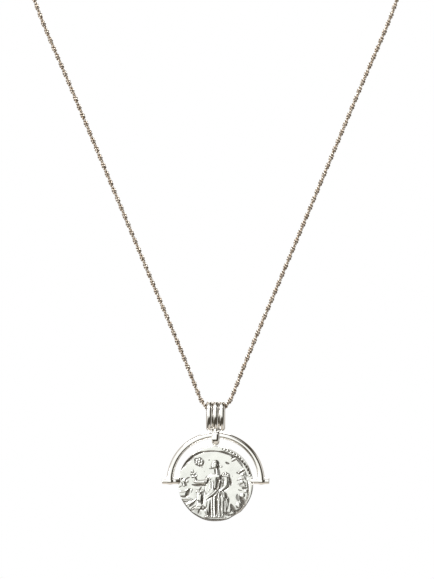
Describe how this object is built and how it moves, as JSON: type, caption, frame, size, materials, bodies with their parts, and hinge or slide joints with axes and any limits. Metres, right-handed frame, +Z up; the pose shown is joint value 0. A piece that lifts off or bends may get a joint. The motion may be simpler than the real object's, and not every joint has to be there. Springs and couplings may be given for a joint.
{
  "type": "coin pendant necklace",
  "caption": "Silver coin pendant: a relief coin that turns on pins in a wire arch, hung by a ribbed bail from a fine closed rope chain.",
  "frame": {"origin": "middle of the clasp at the nape, where the closed chain hangs on a neck", "axes": "+Z up, the pendant hangs down at -Z; the coin's face looks along -Y; +X to the right as seen from the front"},
  "size_m": [0.1094, 0.0839, 0.183],
  "materials": {
    "chain_silver": "polished silver rope links, darker in the gaps",
    "polished_silver": "mirror polished silver with fine wear",
    "coin_silver": "worn bright silver, slightly matt, tarnish in the recesses"
  },
  "bodies": {
    "chain": {"rope_chain": "chain_silver", "clasp": "chain_silver"},
    "bail": {"bail": "polished_silver"},
    "arch": {"arch": "polished_silver"},
    "coin": {"coin": "coin_silver"}
  },
  "joints": [
    {"name": "bail_swing", "type": "hinge", "parent": "chain", "child": "bail", "pos_m": [0, -0.08, -0.15524], "axis": [1, 0, 0], "range_deg": [-60, 60]},
    {"name": "arch_swing", "type": "hinge", "parent": "bail", "child": "arch", "pos_m": [0, -0.08, -0.16109], "axis": [1, 0, 0], "range_deg": [-60, 60]},
    {"name": "coin_turn", "type": "hinge", "parent": "arch", "child": "coin", "pos_m": [0, -0.08, -0.17194], "axis": [1, 0, 0], "range_deg": [-160, 160]}
  ]
}
